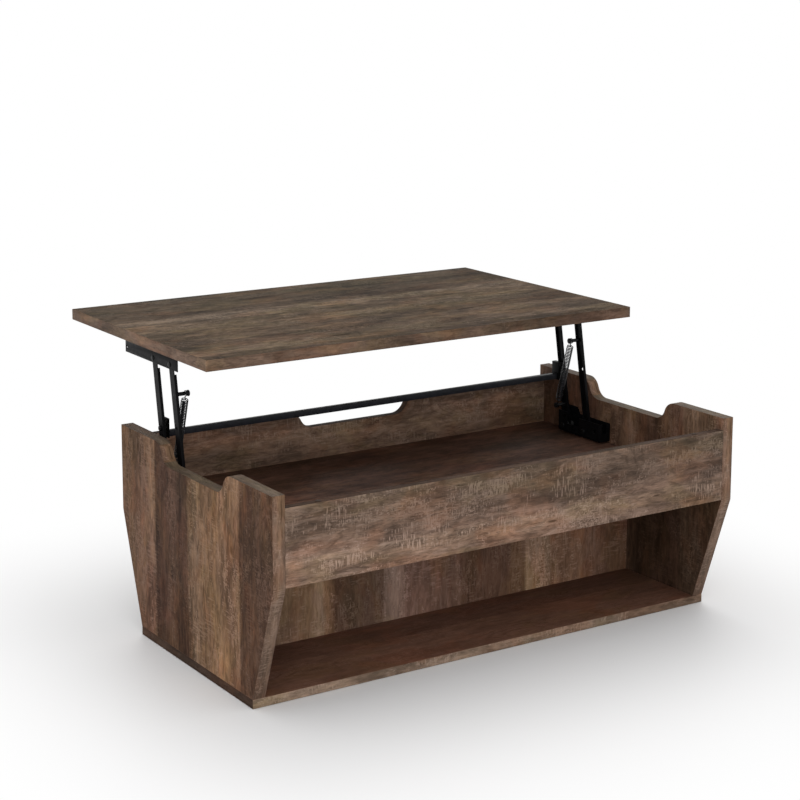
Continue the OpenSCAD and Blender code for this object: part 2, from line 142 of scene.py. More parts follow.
def printGroup():
    tree = bpy.data.node_groups.new("rusticOakPrint", "ShaderNodeTree")
    face = tree.interface
    for name, kind, value in (("Along", "Float", 0), ("Across", "Float", 0), ("Tone", "Color", None),
                              ("Seed", "Float", 0), ("Grain", "Float", 1), ("Saw marks", "Float", 1),
                              ("Swirl", "Float", 1), ("Worn", "Float", 1), ("Knots", "Float", 0)):
        socket = face.new_socket(name, in_out="INPUT", socket_type="NodeSocket" + kind)
        if value is not None:
            socket.default_value = value
    for name, kind in (("Color", "Color"), ("Roughness", "Float"), ("Height", "Float")):
        face.new_socket(name, in_out="OUTPUT", socket_type="NodeSocket" + kind)
    start = put(tree, "NodeGroupInput").outputs
    place = put(tree, "ShaderNodeCombineXYZ", {0: start["Along"], 1: start["Across"], 2: start["Seed"]})

    def grainNoise(along, across, detail=2.0, rough=0.5, twist=0.0, shift=0.0):
        # along and across are waves a metre; shift moves the pattern to another part of the noise
        step = (shift, shift * 1.7, shift)
        spot = calcVector(tree, "MULTIPLY_ADD", place.outputs[0], (along, across, 1.0), step)
        return noise(tree, spot, 1.0, detail, rough, twist)

    cloud = remap(tree, grainNoise(5.5, 17, 4, 0.55), 0.38, 0.62, 0.70, 1.30)
    blotch = remap(tree, grainNoise(30, 70, 4, 0.65, 0.8, 61), 0.37, 0.63, 0.74, 1.28)
    streak = remap(tree, grainNoise(9, 120, 4, 0.6, 0.5, 3), 0.36, 0.64, 0.84, 1.16)
    fibre = remap(tree, grainNoise(45, 480, 2, 0.6, 0.0, 5), 0.34, 0.66, 0.84, 1.16)
    tone = calc(tree, "POWER", times(tree, cloud, blotch, streak, fibre), start["Grain"])

    # arched grain: level lines of a stretched cloud, pulled round the knots
    field = calc(tree, "MULTIPLY_ADD", grainNoise(2.6, 9.5, 1.5, 0.45, 0.6, 9), 2.6,
                 times(tree, start["Knots"], printLook["knotSwirl"]))
    field = calc(tree, "ADD", field, times(tree, grainNoise(9, 110, 3, 0.6, 0.0, 2), 0.16))
    rings = calc(tree, "SINE", times(tree, field, printLook["ringLines"]))
    rings = remap(tree, rings, 0.35, 1.0, 0.0, 1.0, True)
    ringMask = remap(tree, grainNoise(6, 15, 2, 0.5, 0.0, 14), 0.50, 0.64)
    ringMask = calc(tree, "MAXIMUM", ringMask, remap(tree, start["Knots"], 0.1, 0.4))
    rings = times(tree, rings, ringMask, start["Swirl"], 0.5)

    pores = remap(tree, grainNoise(75, 900, 1, 0.5, 0.0, 7), 0.58, 0.70)
    poreMask = remap(tree, grainNoise(6, 22, 2, 0.5, 0.0, 11), 0.42, 0.62)
    pores = times(tree, pores, calc(tree, "MULTIPLY_ADD", poreMask, 0.6, 0.15))
    cracks = remap(tree, grainNoise(13, 230, 3, 0.6, 0.8, 17), 0.63, 0.68)
    crackMask = remap(tree, grainNoise(5, 16, 2, 0.5, 0.0, 19), 0.50, 0.60)
    cracks = times(tree, cracks, crackMask, 0.9)
    heart = times(tree, remap(tree, start["Knots"], 0.72, 0.95, 0, 1, True), 0.85)
    dark = calc(tree, "MAXIMUM", calc(tree, "MAXIMUM", rings, pores), calc(tree, "MAXIMUM", cracks, heart))

    # saw marks cross the grain in pale patches, with dry brushed flecks between
    saw = remap(tree, grainNoise(310, 44, 2, 0.55, 0.0, 23), 0.50, 0.59)
    sawMask = remap(tree, grainNoise(9, 20, 4, 0.7, 0.5, 29), 0.50, 0.57)
    fleck = calc(tree, "MAXIMUM", remap(tree, grainNoise(80, 360, 2, 0.6, 0.8, 31), 0.54, 0.60),
                 remap(tree, grainNoise(330, 90, 2, 0.6, 0.8, 33), 0.54, 0.60))
    fleckMask = remap(tree, grainNoise(7, 19, 5, 0.75, 0.6, 41), 0.505, 0.57)
    saw = times(tree, saw, sawMask, start["Saw marks"], 0.6)
    flecks = times(tree, fleck, fleckMask, start["Worn"], 0.68)
    worn = times(tree, remap(tree, grainNoise(8, 60, 5, 0.75, 0.6, 37), 0.53, 0.68), start["Worn"], 0.5)
    pale = calc(tree, "MAXIMUM", calc(tree, "MAXIMUM", saw, flecks), worn, clamp=True)

    # the dye wanders between warmer and greener patches
    warm = times(tree, remap(tree, grainNoise(7, 13, 3, 0.6, 0.4, 43), 0.50, 0.60), 0.7)
    olive = times(tree, remap(tree, grainNoise(6, 12, 3, 0.6, 0.4, 47), 0.50, 0.60), 0.7)
    dyed = mixColor(tree, warm, start["Tone"], printLook["warmTint"], "MULTIPLY")
    dyed = mixColor(tree, olive, dyed, printLook["oliveTint"], "MULTIPLY")
    grey = put(tree, "ShaderNodeHueSaturation", {"Color": dyed, "Saturation": 0.85,
                                                 "Value": printLook["paleGain"]}).outputs[0]
    deep = put(tree, "ShaderNodeHueSaturation", {"Color": dyed, "Saturation": 1.15,
                                                 "Value": printLook["darkGain"]}).outputs[0]
    color = mixColor(tree, pale, scaleColor(tree, dyed, tone), grey)
    color = mixColor(tree, calc(tree, "MINIMUM", dark, 0.9), color, deep)
    rough = calc(tree, "MULTIPLY_ADD", dark, 0.12, calc(tree, "MULTIPLY_ADD", fibre, 0.12, 0.46))
    height = calc(tree, "SUBTRACT", times(tree, tone, 0.35), dark)
    height = calc(tree, "ADD", height, times(tree, pale, 0.4))
    put(tree, "NodeGroupOutput", {"Color": color, "Roughness": rough, "Height": height})
    return tree


oakPrint = printGroup()


def laminate(name, tones, width, seed, grain=1.0, saw=1.0, swirl=1.0, worn=1.0, knots=(),
             drift=(0.0, 1.0, 1.0, 1.0), gain=1.0, rough=0.0, shine=0.1):
    # tones are (place across the board in metres, screen colour); knots are (along, across, radius);
    # drift is painted shade, from one place along the board to another, and the gain at each
    mat, tree, shader = newMaterial(name)
    uv = put(tree, "ShaderNodeUVMap", uv_map="grain").outputs[0]
    split = put(tree, "ShaderNodeSeparateXYZ", {0: uv}).outputs
    along, across = split[0], split[1]
    wander = calc(tree, "SUBTRACT", noise(tree, uv, 9.0, 1.0), 0.5)
    share = calc(tree, "MULTIPLY_ADD", wander, 0.003 / width, calc(tree, "DIVIDE", across, width))
    ramp = put(tree, "ShaderNodeValToRGB", {"Fac": share})
    stops = ramp.color_ramp.elements
    while len(stops) > 1:
        stops.remove(stops[0])
    gains = gain if isinstance(gain, tuple) else (gain, gain, gain)
    for i, (spot, tone) in enumerate(tones):
        share = min(max(spot / width, 0.0), 1.0)
        stop = stops[0] if i == 0 else stops.new(share)
        stop.position = share
        stop.color = linear(tone, gains)
    knotField = 0.0
    for ku, kv, radius in knots:
        du = times(tree, calc(tree, "SUBTRACT", along, ku), 0.22)
        dv = calc(tree, "SUBTRACT", across, kv)
        away = calc(tree, "ADD", times(tree, du, du), times(tree, dv, dv))
        bell = calc(tree, "POWER", math.e, times(tree, away, -1 / radius ** 2))
        knotField = bell if knotField == 0.0 else calc(tree, "MAXIMUM", knotField, bell)
    # painted shade: the tones dim from one place along the board to another
    toned = scaleColor(tree, ramp.outputs[0], remap(tree, along, *drift))
    printed = put(tree, "ShaderNodeGroup", node_tree=oakPrint)
    for key, value in (("Along", along), ("Across", across), ("Tone", toned), ("Seed", seed),
                       ("Grain", grain), ("Saw marks", saw), ("Swirl", swirl), ("Worn", worn),
                       ("Knots", knotField)):
        if isinstance(value, bpy.types.NodeSocket):
            tree.links.new(value, printed.inputs[key])
        else:
            printed.inputs[key].default_value = value
    tree.links.new(printed.outputs["Color"], shader.inputs["Base Color"])
    tree.links.new(calc(tree, "ADD", printed.outputs["Roughness"], rough), shader.inputs["Roughness"])
    shader.inputs["Specular IOR Level"].default_value = shine
    bump = put(tree, "ShaderNodeBump", {"Height": printed.outputs["Height"], "Strength": 0.35,
                                        "Distance": 0.0006})
    tree.links.new(bump.outputs[0], shader.inputs["Normal"])
    return mat


# metals, plastic and rubber
def speckled(name, color, metallic, rough, noiseScale, roughSpread, bumpDepth, tint=0.15, specular=0.5):
    mat, tree, shader = newMaterial(name)
    spot = put(tree, "ShaderNodeTexCoord").outputs["Object"]
    coarse = noise(tree, spot, noiseScale * 0.08, 3.0)
    fine = noise(tree, spot, noiseScale, 2.0)
    low = tuple(c * (1 - tint) for c in color) + (1.0,)
    high = tuple(min(1.0, c * (1 + tint)) for c in color) + (1.0,)
    shade = mixColor(tree, remap(tree, coarse, 0.3, 0.7), low, high)
    dull = remap(tree, coarse, 0.3, 0.7, rough - roughSpread, rough + roughSpread)
    tree.links.new(shade, shader.inputs["Base Color"])
    tree.links.new(dull, shader.inputs["Roughness"])
    shader.inputs["Metallic"].default_value = metallic
    shader.inputs["Specular IOR Level"].default_value = specular
    bump = put(tree, "ShaderNodeBump", {"Height": fine, "Strength": 0.3, "Distance": bumpDepth})
    tree.links.new(bump.outputs[0], shader.inputs["Normal"])
    return mat


powderBlack = speckled("powderBlack", (0.0032, 0.0032, 0.0038), 0.0, 0.42, 1400, 0.06, 0.0002, 0.25, 0.07)
oxideBlack = speckled("oxideBlack", (0.0045, 0.0045, 0.005), 0.0, 0.36, 900, 0.08, 0.0001, 0.3, 0.14)
zincPlate = speckled("zincPlate", (0.62, 0.63, 0.66), 1.0, 0.34, 700, 0.08, 0.0001, 0.12)
# the crossbar's black is lighter and bluer than the other black steel: painted sheen
barBlackSheen = speckled("barBlackSheen", (0.016, 0.017, 0.021), 0.0, 0.42, 1400, 0.06, 0.0002, 0.25, 0.14)
springWire = speckled("springWire", (0.034, 0.034, 0.037), 1.0, 0.26, 500, 0.08, 0.0001, 0.5)
blackNylon = speckled("blackNylon", (0.02, 0.02, 0.02), 0.0, 0.50, 500, 0.05, 0.0001, 0.2, 0.3)
brownRubber = speckled("brownRubber", (0.045, 0.031, 0.024), 0.0, 0.62, 600, 0.06, 0.0001, 0.2, 0.1)
plainBeech = speckled("plainBeech", (0.55, 0.38, 0.21), 0.0, 0.60, 120, 0.08, 0.0002, 0.2, 0.3)

# tones of each printed board, by place across its grain
endTones = [(0.0, (82, 62, 49)), (0.030, (86, 65, 52)), (0.070, (79, 59, 46)), (0.118, (88, 66, 51)),
            (0.123, (120, 95, 77)), (0.170, (118, 93, 73)), (0.192, (129, 104, 84)), (0.212, (118, 94, 73)),
            (0.262, (110, 88, 68)), (0.290, (126, 104, 85)), (0.308, (108, 88, 70)), (0.319, (102, 82, 65)),
            (0.324, (80, 60, 47)), (0.350, (68, 50, 40)), (0.388, (86, 65, 53)), (0.412, (76, 55, 44)),
            (0.452, (70, 50, 38)), (0.458, (109, 86, 72)), (0.475, (110, 87, 74)), (0.500, (99, 77, 63)),
            (0.550, (96, 75, 60)), (0.600, (98, 76, 60))]
farEndTones = [(0.0, (100, 79, 64)), (0.08, (104, 86, 70)), (0.118, (94, 76, 61)), (0.123, (90, 70, 57)),
               (0.20, (84, 64, 52)), (0.262, (88, 70, 56)), (0.268, (104, 84, 68)), (0.37, (98, 78, 63)),
               (0.392, (92, 72, 58)), (0.398, (80, 61, 50)), (0.50, (86, 66, 53)), (0.6, (94, 74, 60))]
lidTones = [(0.0, (86, 71, 57)), (0.030, (87, 72, 57)), (0.036, (105, 89, 73)), (0.070, (104, 88, 72)),
            (0.084, (96, 81, 66)), (0.150, (95, 80, 65)), (0.205, (89, 74, 58)), (0.226, (98, 83, 66)),
            (0.240, (107, 92, 73)), (0.330, (106, 90, 73)), (0.350, (112, 97, 80)), (0.384, (113, 98, 82)),
            (0.396, (102, 87, 71)), (0.402, (89, 75, 61)), (0.440, (83, 70, 56)), (0.530, (82, 71, 57)),
            (0.600, (86, 76, 64))]
apronTones = [(0.0, (116, 93, 78)), (0.010, (121, 97, 82)), (0.030, (125, 101, 84)), (0.044, (127, 104, 88)),
              (0.052, (118, 95, 81)), (0.066, (108, 87, 74)), (0.080, (102, 82, 69)), (0.100, (101, 82, 69)),
              (0.125, (102, 83, 70)), (0.143, (104, 86, 73))]
rearTones = [(0.0, (84, 66, 54)), (0.040, (90, 71, 58)), (0.047, (82, 65, 54)), (0.100, (92, 74, 61)),
             (0.107, (103, 83, 70)), (0.143, (101, 82, 69))]
dividerTones = [(0.0, (121, 96, 76)), (0.060, (121, 95, 75)), (0.066, (92, 69, 55)), (0.095, (73, 55, 41)),
                (0.130, (94, 74, 59)), (0.215, (98, 76, 61)), (0.235, (114, 93, 76)), (0.268, (94, 74, 61)),
                (0.273, (76, 58, 48)), (0.382, (72, 55, 45)), (0.387, (97, 79, 69)), (0.412, (113, 93, 82)),
                (0.440, (94, 71, 61)), (0.565, (86, 65, 54)), (0.570, (74, 54, 43)), (0.680, (74, 54, 43)),
                (0.728, (84, 62, 48)), (0.733, (114, 91, 74)), (0.790, (116, 93, 75)), (0.800, (98, 74, 58)),
                (0.880, (102, 77, 61)), (0.886, (88, 66, 53)), (1.0, (84, 61, 49))]
floorTones = [(0.0, (88, 62, 50)), (0.12, (92, 66, 53)), (0.126, (80, 56, 45)), (0.26, (84, 59, 48)),
              (0.266, (96, 69, 56)), (0.40, (90, 64, 52)), (0.406, (82, 58, 47)), (0.566, (88, 62, 50))]
bandTones = [(0.0, (83, 69, 58)), (0.012, (92, 78, 65)), (0.025, (83, 69, 58))]
frontBandTones = [(0.0, (96, 76, 63)), (0.012, (104, 84, 70)), (0.025, (98, 78, 65))]
baseBandTones = [(0.0, (108, 90, 76)), (0.009, (114, 96, 81)), (0.017, (110, 91, 77))]
lidBandTones = [(0.0, (90, 72, 60)), (0.011, (95, 77, 65)), (0.022, (88, 71, 59))]
darkBandTones = [(0.0, (62, 48, 40)), (0.009, (68, 53, 44)), (0.017, (62, 48, 40))]

prints = {
    "endLeft": laminate("endPanelPrint", endTones, 0.6, 1.3, saw=0.8, swirl=0.7, worn=1.15, grain=1.15,
                        gain=(0.83, 0.745, 0.685), shine=0.05,
                        knots=((0.255, 0.150, 0.0045), (0.215, 0.147, 0.0035), (0.36, 0.525, 0.004))),
    "endRight": laminate("farEndPanelPrint", farEndTones, 0.6, 4.1, saw=0.6, swirl=0.7),
    # the end panels' inner faces dim to half below the box floor: painted shade in the shelf
    "endInnerShaded": laminate("endPanelInnerShadedPrint", farEndTones, 0.6, 6.3, saw=0.6, swirl=0.7,
                         gain=(1.09, 0.99, 0.95), drift=(0.238, 0.250, 0.50, 1.0)),
    # the lid dims a little towards its right end: painted shade
    "lid": laminate("lidPrint", lidTones, 0.6, 7.7, saw=0.5, swirl=0.8, worn=1.1, grain=1.4,
                    gain=(0.62, 0.59, 0.58), shine=0.03, rough=0.1, drift=(0.0, 1.0, 1.06, 0.94),
                    knots=((0.33, 0.07, 0.012), (0.70, 0.17, 0.010))),
    # the apron is lighter at its left end and dims towards the right: painted light and shade
    "apron": laminate("apronPrint", apronTones, 0.143, 11.9, saw=1.5, swirl=0.8, worn=1.3, grain=1.05,
                      gain=0.79,
                      knots=((0.575, 0.026, 0.0055), (0.83, 0.036, 0.0045)), drift=(0.0, 1.0, 1.14, 0.82)),
    "rear": laminate("rearApronPrint", rearTones, 0.143, 15.2, saw=1.0, swirl=0.7, gain=1.42),
    "divider": laminate("dividerPrint", dividerTones, 1.0, 19.4, saw=0.8, swirl=0.4, gain=1.92, grain=0.62),
    # the base top dims towards its right end: painted shade
    "floor": laminate("darkPrint", floorTones, 0.566, 23.8, saw=0.15, swirl=0.8, worn=0.4, grain=0.5,
                      gain=1.48, drift=(0.45, 1.05, 1.05, 0.74)),
    # the box floor is a much darker copy of the base's print, lighter at its left end: painted shade inside
    # the box
    "boxFloor": laminate("boxFloorShadedPrint", floorTones, 0.566, 25.1, saw=0.15, swirl=0.8, worn=0.4, grain=1.2,
                         gain=0.64, drift=(0.10, 0.30, 1.35, 1.0)),
    "band": laminate("edgeBand", bandTones, 0.025, 27.5, saw=0.7, swirl=0.2, worn=0.8, grain=0.8),
    # edges that face front or back are paler than the other edges and dim towards the floor: painted light
    # and shade by facing
    "frontBand": laminate("frontEdgeBandLightAndShade", frontBandTones, 0.025, 29.9, saw=1.1, swirl=0.2, worn=1.1,
                          grain=0.8, drift=(0.05, 0.35, 0.82, 1.08)),
    # the lid's edges dim along their length, towards the right at the front: painted shade
    "lidBand": laminate("lidEdgeBand", lidBandTones, 0.022, 31.1, saw=0.3, swirl=0.4, worn=0.5,
                        drift=(0.0, 1.0, 1.16, 0.82)),
    # the base's edges dim along their length, towards the right at the front: painted shade
    "baseBand": laminate("baseEdgeBand", baseBandTones, 0.017, 33.3, saw=1.4, swirl=0.0, worn=0.9,
                         drift=(0.0, 1.05, 1.12, 0.80)),
    "darkBand": laminate("darkEdgeBand", darkBandTones, 0.017, 35.7, saw=0.5, swirl=0.2, worn=0.5, grain=0.8,
                         shine=0.03),
}
print("materials made:", len(bpy.data.materials))


# mesh helpers
def cleanCopy(node, flatAngle=0.4):
    # a merged copy of a frame node's mesh, with its flat faces whole again
    bm = bmesh.new()
    bm.from_mesh(nodes[node].data)
    bmesh.ops.remove_doubles(bm, verts=bm.verts, dist=1e-6)
    bmesh.ops.dissolve_limit(bm, angle_limit=math.radians(flatAngle), verts=bm.verts, edges=bm.edges)
    bmesh.ops.recalc_face_normals(bm, faces=bm.faces)
    return bm


def finishPiece(bm, name, body, materials, replaced=(), smoothAngle=13.0):
    mesh = bpy.data.meshes.new(name)
    bm.to_mesh(mesh)
    bm.free()
    for mat in materials:
        mesh.materials.append(mat)
    mesh.polygons.foreach_set("use_smooth", [True] * len(mesh.polygons))
    mesh.set_sharp_from_angle(angle=math.radians(smoothAngle))
    piece = bpy.data.objects.new(name, mesh)
    bpy.context.scene.collection.objects.link(piece)
    if body:
        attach(piece, body)
    if replaced:
        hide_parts(*replaced)
    return piece


def outerEdges(bm, thick):
    # sharp edges of the two large outlines, and the corner edges between them
    sharp = [e for e in bm.edges if len(e.link_faces) == 2 and e.calc_face_angle(0) > math.radians(20)]
    rim = [e for e in sharp if any(abs(f.normal[thick]) > 0.99 for f in e.link_faces)]
    left = set(rim)
    loops = []
    while left:
        stack = [left.pop()]
        group = []
        while stack:
            e = stack.pop()
            group.append(e)
            for v in e.verts:
                for other in v.link_edges:
                    if other in left:
                        left.discard(other)
                        stack.append(other)
        loops.append(group)
    loops.sort(key=lambda g: -sum(e.calc_length() for e in g))
    chosen = set(e for g in loops[:2] for e in g)
    rimVerts = set(v for e in chosen for v in e.verts)
    for e in sharp:
        if all(v in rimVerts for v in e.verts):
            chosen.add(e)
    return list(chosen)


def board(node, name, thick, along, faceMat, bandMat, frontMat=None, innerMat=None, body="cabinet",
          bevel=0.0007):
    # thick and along are axis numbers; the third axis runs across the grain
    across = 3 - thick - along
    bm = cleanCopy(node)
    bmesh.ops.bevel(bm, geom=outerEdges(bm, thick), offset=bevel, segments=2, profile=0.6, affect="EDGES",
                    clamp_overlap=True)
    low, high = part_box(node)
    uv = bm.loops.layers.uv.new("grain")
    for f in bm.faces:
        onBand = abs(f.normal[thick]) < 0.6
        if onBand:
            run = along if abs(f.normal[along]) < abs(f.normal[across]) else across
            side = thick
            # edges facing front or back take their own band, which carries painted light by facing
            f.material_index = 2 if abs(f.normal.y) > 0.6 else 1
        else:
            run, side = along, across
            # inner faces take their own print, which on the end panels carries painted shade
            inside = innerMat and f.normal[thick] * (low[thick] + high[thick]) < 0
            f.material_index = 3 if inside else 0
        for loop in f.loops:
            co = loop.vert.co
            loop[uv].uv = (co[run] - low[run], co[side] - low[side])
    mats = [faceMat, bandMat, frontMat or bandMat, innerMat or faceMat]
    return finishPiece(bm, name, body, mats, [node])


# boards
# the end panels' front and rear edges take the paler band: painted light by facing
board("end_panel_left", "endPanelLeft", 0, 2, prints["endLeft"], prints["band"],
      frontMat=prints["frontBand"], innerMat=prints["endInnerShaded"])
board("end_panel_right", "endPanelRight", 0, 2, prints["endRight"], prints["band"],
      frontMat=prints["frontBand"], innerMat=prints["endInnerShaded"])
board("front_apron", "frontApron", 1, 0, prints["apron"], prints["darkBand"])
board("rear_apron", "rearApron", 1, 0, prints["rear"], prints["darkBand"])
board("box_floor", "boxFloor", 2, 0, prints["boxFloor"], prints["boxFloor"])
board("shelf_divider", "shelfDivider", 1, 2, prints["divider"], prints["band"])
# the base's front and rear edges take a pale band, its end edges the dark one: painted light and shade by
# facing
board("base_board", "baseBoard", 2, 0, prints["floor"], prints["darkBand"],
      frontMat=prints["baseBand"])
board("lid_panel", "lidPanel", 2, 0, prints["lid"], prints["lidBand"], body="lid",
      bevel=0.0009)
print("boards made")


# folded steel parts
def steelPiece(node, name, body, mat, bevel=0.0004, shortest=0.003):
    bm = cleanCopy(node)
    edges = [e for e in bm.edges if len(e.link_faces) == 2 and e.calc_face_angle(0) > math.radians(30)
             and e.calc_length() > shortest]
    bmesh.ops.bevel(bm, geom=edges, offset=bevel, segments=2, profile=0.5, affect="EDGES", clamp_overlap=True)
    return finishPiece(bm, name, body, [mat], [node], smoothAngle=32.0)


steelBodies = {"base_bracket": "cabinet", "front_arm": "front_arms", "rear_arm": "rear_arms",
               "crossbar_clip": "rear_arms", "lid_bracket": "lid"}
for part, body in steelBodies.items():
    for side in ("left", "right"):
        words = (part + "_" + side).split("_")
        name = words[0] + "".join(w.title() for w in words[1:])
        steelPiece(part + "_" + side, name, body, powderBlack)
steelPiece("crossbar", "crossbarTube", "rear_arms", barBlackSheen, bevel=0.0011, shortest=0.1)
steelPiece("clip_nuts", "clipNuts", "rear_arms", oxideBlack, bevel=0.0005)
steelPiece("spring_stud_nuts", "studNuts", "rear_arms", oxideBlack, bevel=0.0005)
steelPiece("clip_bolts", "clipBolts", "rear_arms", oxideBlack, bevel=0.0005)
print("steel parts made")


# turned parts
def lathe(bm, profile, start, axis, facets=32):
    # profile is (distance along the axis, radius); the ends close on the axis
    axis = Vector(axis).normalized()
    turn = axis.to_track_quat("Z", "Y").to_matrix()
    rings = []
    for h, r in profile:
        if r < 1e-7:
            rings.append([bm.verts.new(Vector(start) + turn @ Vector((0, 0, h)))])
            continue
        angles = [math.tau * i / facets for i in range(facets)]
        rings.append([bm.verts.new(Vector(start) + turn @ Vector((r * math.cos(a), r * math.sin(a), h)))
                      for a in angles])
    made = []
    for a, b in zip(rings, rings[1:]):
        for i in range(facets):
            j = (i + 1) % facets
            corners = [a[i % len(a)], a[j % len(a)], b[j % len(b)], b[i % len(b)]]
            corners = list(dict.fromkeys(corners))      # a pole gives a triangle
            if len(corners) > 2:
                made.append(bm.faces.new(corners))
    bmesh.ops.recalc_face_normals(bm, faces=made)


def dome(radius, height, base=0.0, steps=6):
    # a low cap, from its rim up to its pole
    return [(base + height * math.sin(math.pi / 2 * i / steps), radius * math.cos(math.pi / 2 * i / steps))
            for i in range(steps)] + [(base + height, 0.0)]


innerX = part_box("front_apron")[1][0]      # inner face of the right end panel
pinTip = 0.0445                           # from the end panel in to the free ends of pins and studs

# spring pins: a riveted foot, a shaft with a groove for the hook, and a flat head
pins = {"foot": 0.0025, "footLong": 0.002, "shaft": 0.0038, "head": 0.0060, "headLong": 0.0040,
        "groove": 0.0030, "grooveLong": 0.0035, "chamfer": 0.0005}
pinLow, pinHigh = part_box("spring_pins")
pinMid = (pinLow + pinHigh) / 2
pinLong = pinHigh[0] - (innerX - pinTip)
headAt = pinLong - pins["headLong"]
grooveAt = headAt - pins["grooveLong"]
c = pins["chamfer"]
pinProfile = [(0, 0), (0, pins["foot"]), (pins["footLong"], pins["foot"]), (pins["footLong"], pins["shaft"]),
              (grooveAt - 3 * c, pins["shaft"]), (grooveAt - 2 * c, pins["groove"]),
              (headAt - 2 * c, pins["groove"]), (headAt, pins["shaft"]), (headAt, pins["head"] - c),
              (headAt + c, pins["head"]), (pinLong - 2 * c, pins["head"]), (pinLong - c, pins["head"] - c),
              (pinLong, pins["head"] - 3 * c), (pinLong, 0)]
bm = bmesh.new()
for side in (-1, 1):
    lathe(bm, pinProfile, (side * pinHigh[0], pinMid[1], pinMid[2]), (-side, 0, 0))
finishPiece(bm, "springPins", "front_arms", [oxideBlack], ["spring_pins"], 40)

# spring studs: the same foot, and a threaded end
studs = {"foot": 0.0025, "footLong": 0.002, "shaft": 0.0035, "root": 0.0031, "pitch": 0.001,
         "threadFrom": 0.014, "tip": 0.0006, "tipFrom": 0.0033, "tipTo": 0.0026}
studLow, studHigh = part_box("spring_studs")
studMid = (studLow + studHigh) / 2
studLong = studHigh[0] - (innerX - pinTip)
studProfile = [(0, 0), (0, studs["foot"]), (studs["footLong"], studs["foot"]),
               (studs["footLong"], studs["shaft"])]
h = studs["threadFrom"]
while h < studLong - 1.5 * studs["pitch"]:
    studProfile += [(h, studs["shaft"]), (h + studs["pitch"] / 2, studs["root"])]
    h += studs["pitch"]
studProfile += [(studLong - studs["tip"], studs["tipFrom"]), (studLong, studs["tipTo"]), (studLong, 0)]
bm = bmesh.new()
for side in (-1, 1):
    lathe(bm, studProfile, (side * studHigh[0], studMid[1], studMid[2]), (-side, 0, 0))
finishPiece(bm, "springStuds", "rear_arms", [oxideBlack], ["spring_studs"], 40)

# bumpers: a thin disc with a domed top in each corner of the box
bumpers = {"radius": 0.005, "disc": 0.0006, "domeRadius": 0.0048, "domeFrom": 0.0007, "domeHigh": 0.0012}
bumperProfile = [(0, 0), (0, bumpers["radius"]), (bumpers["disc"], bumpers["radius"]),
                 *dome(bumpers["domeRadius"], bumpers["domeHigh"], bumpers["domeFrom"])]
bumperLow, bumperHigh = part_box("lid_bumpers")
bm = bmesh.new()
for x in (-1, 1):
    for y in (-1, 1):
        middle = bumperHigh - Vector((bumpers["radius"], bumpers["radius"], 0))
        lathe(bm, bumperProfile, (x * middle.x, y * middle.y, bumperLow.z), (0, 0, 1))
finishPiece(bm, "lidBumpers", "cabinet", [brownRubber], ["lid_bumpers"], 35)
print("turned parts made")


# fasteners scattered by geometry nodes
def screwHead(radius, height, recess=True):
    # a pan head on the origin, with a cross recess cut into it
    bm = bmesh.new()
    profile = [(0, 0), (0, radius), (height * 0.35, radius), *dome(radius * 0.98, height * 0.6, height * 0.4)]
    lathe(bm, profile, (0, 0, 0), (0, 0, 1), 28)
    mesh = bpy.data.meshes.new("headTemplate")
    if recess:
        cross = bmesh.new()
        for turn in (0, math.pi / 2):
            block = bmesh.ops.create_cube(cross, size=1.0)
            place = Matrix.Translation((0, 0, height)) @ Matrix.Rotation(turn, 4, "Z")
            place = place @ Matrix.Diagonal((radius * 1.1, radius * 0.22, height * 0.9, 1))
            bmesh.ops.transform(cross, matrix=place, verts=block["verts"])
        cut = bpy.data.meshes.new("crossTemplate")
        cross.to_mesh(cut)
        cross.free()
        cutter = bpy.data.objects.new("crossTemplate", cut)
        bpy.context.scene.collection.objects.link(cutter)
        bm.to_mesh(mesh)
        head = bpy.data.objects.new("headTemplate", mesh)
        bpy.context.scene.collection.objects.link(head)
        step = head.modifiers.new("recess", "BOOLEAN")
        step.operation = "DIFFERENCE"
        step.object = cutter
        step.solver = "EXACT"
        done = bpy.data.meshes.new_from_object(head.evaluated_get(bpy.context.evaluated_depsgraph_get()))
        head.modifiers.clear()
        head.data = done
        bpy.data.objects.remove(cutter)
    else:
        bm.to_mesh(mesh)
        head = bpy.data.objects.new("headTemplate", mesh)
        bpy.context.scene.collection.objects.link(head)
    bm.free()
    return head


